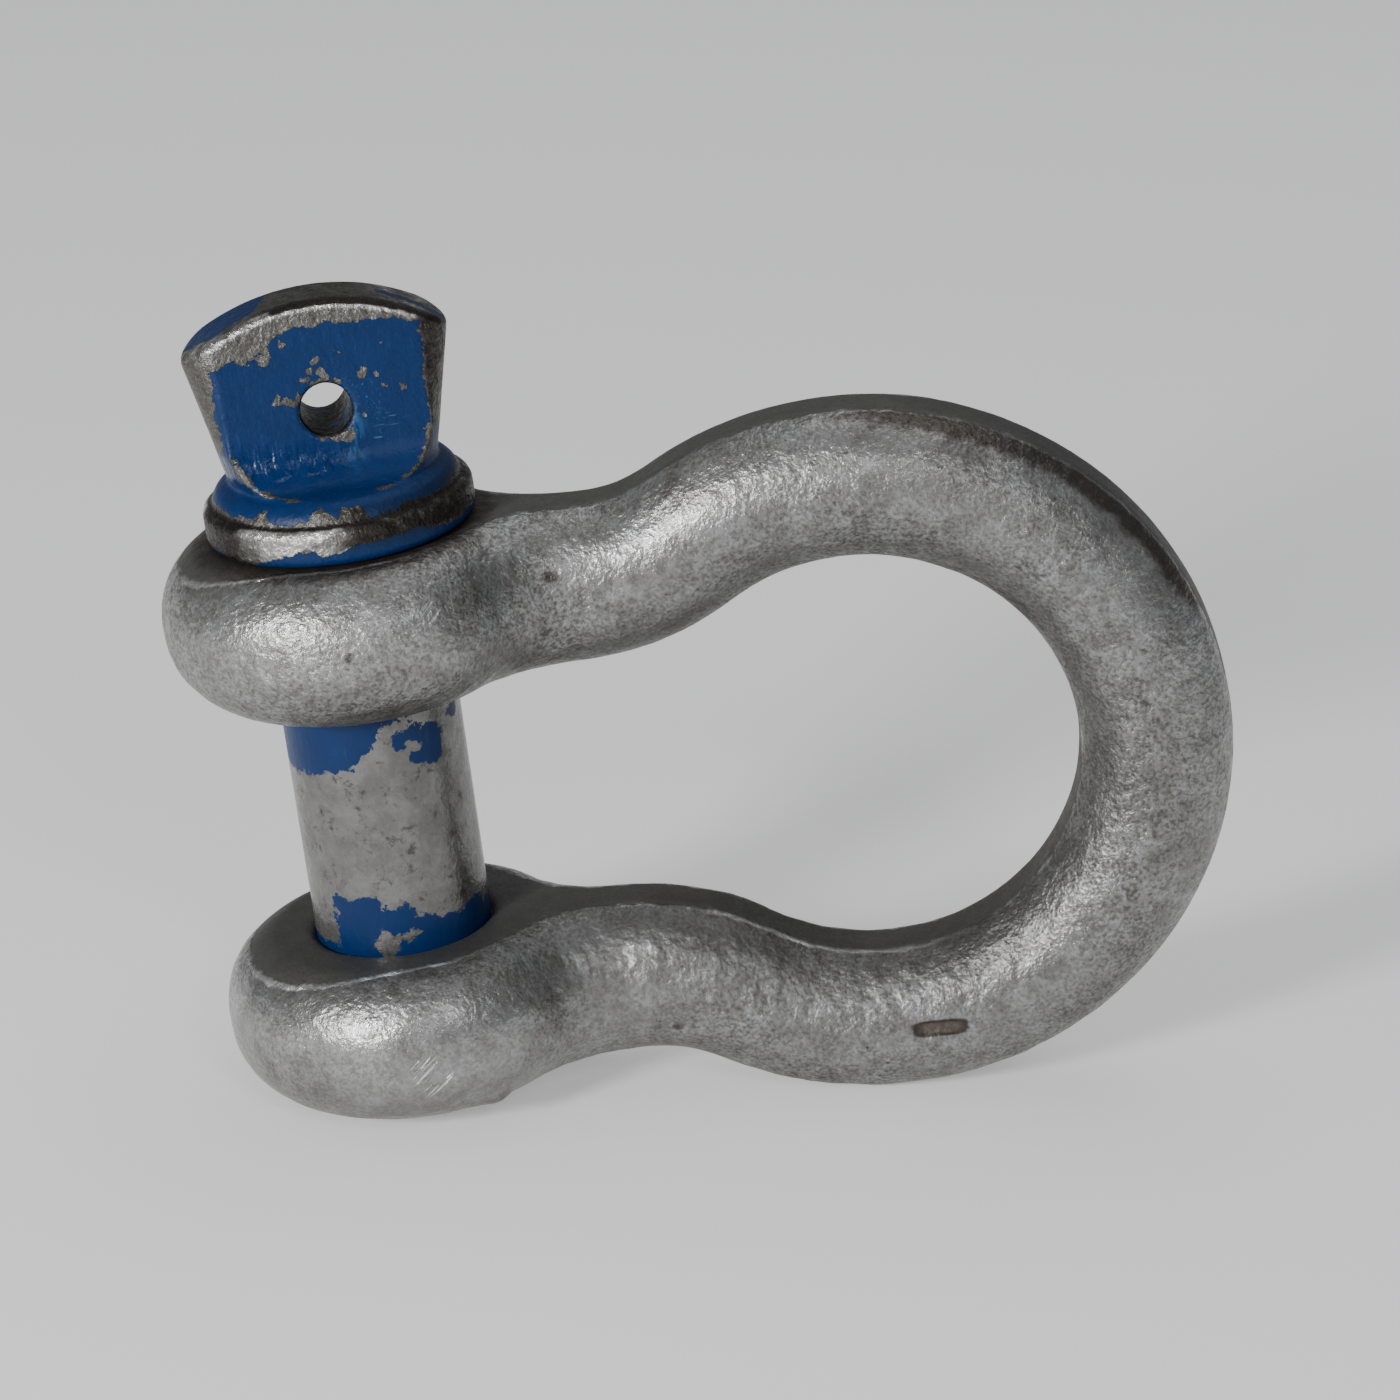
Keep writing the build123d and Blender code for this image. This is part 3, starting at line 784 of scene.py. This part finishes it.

# The bare zinc: worn, scuffed on the shank, polished with a painted highlight where it stands out,
# black with dirt, and with painted shade in the seam and the eye
soot_and_shade = field(tree, "soot_and_shade")
sooty_and_shaded = counted(tree, "MULTIPLY_ADD", grain(tree, where, 1.4, 4.0, 0.65), 1.2, -0.6)
sooty_and_shaded = counted(tree, "MULTIPLY_ADD", sooty_and_shaded, eased(tree, soot_and_shade, 0.0, 0.3), soot_and_shade)
sooty_and_shaded = eased(tree, sooty_and_shaded, 0.1, 0.9)
scuffs = eased(tree, grain(tree, where, 2.3, 5.0, 0.8), 0.545, 0.66)
scuffs = counted(tree, "MULTIPLY", scuffs, counted(tree, "MULTIPLY", smooth, 0.8))
worn_share = counted(tree, "MULTIPLY_ADD", smooth, -0.2, 0.68)
polish_highlight = counted(tree, "MULTIPLY", field(tree, "polish_highlight"), eased(tree, faded, 0.35, 0.6))
polish_highlight = counted(tree, "MULTIPLY", polish_highlight, counted(tree, "MULTIPLY_ADD", sooty_and_shaded, -0.9, 1.0))
bare = blended(tree, worn_share, coat.outputs["Color"], worn_zinc)
bare = blended(tree, scuffs, bare, dark_scuffs)
bare = blended(tree, counted(tree, "MULTIPLY", polish_highlight, 0.9), bare, polished_highlight_zinc)
bare = blended(tree, counted(tree, "MULTIPLY", sooty_and_shaded, 0.92), bare, black_dirt_and_shade)
paint_tone = blended(tree, counted(tree, "MULTIPLY", sooty_and_shaded, 0.6), paint_tone, paint_sooty_and_shaded)
tree.links.new(blended(tree, mask, bare, paint_tone), shader.inputs["Base Color"])
metal = counted(tree, "MULTIPLY_ADD", smooth, -0.2, 0.85)
metal = counted(tree, "MULTIPLY", counted(tree, "SUBTRACT", 1.0, mask), metal)
tree.links.new(metal, shader.inputs["Metallic"])

paint_gloss = counted(tree, "MULTIPLY_ADD", faded, 0.2, 0.33)
paint_gloss = counted(tree, "MULTIPLY_ADD", saddle, -0.22, paint_gloss)
gloss_step = counted(tree, "SUBTRACT", paint_gloss, coat.outputs["Roughness"])
gloss = counted(tree, "ADD", coat.outputs["Roughness"], counted(tree, "MULTIPLY", mask, gloss_step))
gloss = counted(tree, "MULTIPLY_ADD", smooth, -0.05, gloss)
tree.links.new(counted(tree, "MULTIPLY_ADD", polish_highlight, -0.14, gloss), shader.inputs["Roughness"])
shader.inputs["Specular IOR Level"].default_value = 0.25

painted_saddle = counted(tree, "MULTIPLY", saddle, mask)
runs = counted(tree, "MULTIPLY", grain(tree, drawn_up, 1.7, 2.0, 0.5), painted_saddle)
under_paint = counted(tree, "MULTIPLY_ADD", mask, -0.7, 1.0)
zinc_relief = counted(tree, "MULTIPLY", coat.outputs["Height"], under_paint)
zinc_relief = counted(tree, "MULTIPLY", zinc_relief, counted(tree, "MULTIPLY_ADD", smooth, -1.35, 2.2))
relief = counted(tree, "MULTIPLY_ADD", mask, 0.55, zinc_relief)
relief = counted(tree, "MULTIPLY_ADD", counted(tree, "MULTIPLY", streak, mask), 0.4, relief)
relief = counted(tree, "MULTIPLY_ADD", runs, 7.0, relief)
bump = wire(tree, "ShaderNodeBump", {"Strength": 1.0, "Distance": pin_bump, "Height": relief})
tree.links.new(bump.outputs[0], shader.inputs["Normal"])
pin.data.materials.clear()
pin.data.materials.append(blue_paint)
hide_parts("screw_pin")
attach(pin, "pin")


# Stage
# A pale floor under the shackle and soft studio lamps, with the key lamp low at the front left.
# The camera stands where the photograph was taken from, on a long lens.
view_turn = math.radians(3.892)
view_height = math.radians(21.47)
view_roll = math.radians(-7.384)
view_distance = 0.6104
view_lens = 127.86
aim_reach = 40.34
aim_height = 8.40
aim = pin_middle + to_crown * aim_reach * mm + pin_up * aim_height * mm
level_look = to_crown * -math.sin(view_turn) + across_bow * math.cos(view_turn)
look = level_look * math.cos(view_height) - pin_up * math.sin(view_height)
level_right = to_crown * math.cos(view_turn) + across_bow * math.sin(view_turn)
level_up = level_right.cross(look)
right = level_right * math.cos(view_roll) + level_up * math.sin(view_roll)
upright = level_up * math.cos(view_roll) - level_right * math.sin(view_roll)
camera_data = bpy.data.cameras.new("camera")
camera_data.lens = view_lens
camera_data.clip_start = 0.05
camera = bpy.data.objects.new("camera", camera_data)
bpy.context.scene.collection.objects.link(camera)
facing = Matrix((right, upright, -look)).transposed().to_4x4()
camera.matrix_world = Matrix.Translation(aim - look * view_distance) @ facing
bpy.context.scene.camera = camera

floor_half = 3.0
floor_mesh = bpy.data.meshes.new("floor")
corners = [(-floor_half, -floor_half, 0), (floor_half, -floor_half, 0)]
corners = corners + [(floor_half, floor_half, 0), (-floor_half, floor_half, 0)]
floor_mesh.from_pydata(corners, [], [(0, 1, 2, 3)])
floor = bpy.data.objects.new("floor", floor_mesh)
bpy.context.scene.collection.objects.link(floor)
floor_paint, tree, shader = new_material("pale_floor", (0.8, 0.8, 0.8, 1))
shader.inputs["Base Color"].default_value = (0.78, 0.78, 0.775, 1)
shader.inputs["Roughness"].default_value = 0.85
ray = wire(tree, "ShaderNodeLightPath").outputs
seen = counted(tree, "ADD", ray["Is Glossy Ray"], ray["Is Transmission Ray"])
seen = counted(tree, "ADD", ray["Is Camera Ray"], seen)
floor_glow = (0.36, 0.36, 0.36, 1)
tree.links.new(blended(tree, seen, (0, 0, 0, 1), floor_glow), shader.inputs["Emission Color"])
shader.inputs["Emission Strength"].default_value = 1.0
floor_mesh.materials.append(floor_paint)


def lamp(name, place, size, power, target):
    """A square soft lamp turned towards the target."""
    data = bpy.data.lights.new(name, "AREA")
    data.energy = power
    data.size = size
    holder = bpy.data.objects.new(name, data)
    bpy.context.scene.collection.objects.link(holder)
    holder.location = place
    holder.rotation_euler = (Vector(target) - Vector(place)).to_track_quat("-Z", "Y").to_euler()


middle = (0.0, 0.0, 0.045)
lamp("key_lamp", (-0.50, -0.66, 0.33), 0.15, 7.0, middle)
lamp("front_lamp", (0.27, -0.80, 0.60), 0.2, 1.4, middle)
lamp("top_lamp", (0.1, 0.3, 1.2), 0.9, 3.0, middle)

world = bpy.data.worlds.new("studio")
bpy.context.scene.world = world
world.use_nodes = True
backdrop = world.node_tree.nodes["Background"]
backdrop.inputs["Color"].default_value = (0.92, 0.95, 1.0, 1)
backdrop.inputs["Strength"].default_value = 0.2
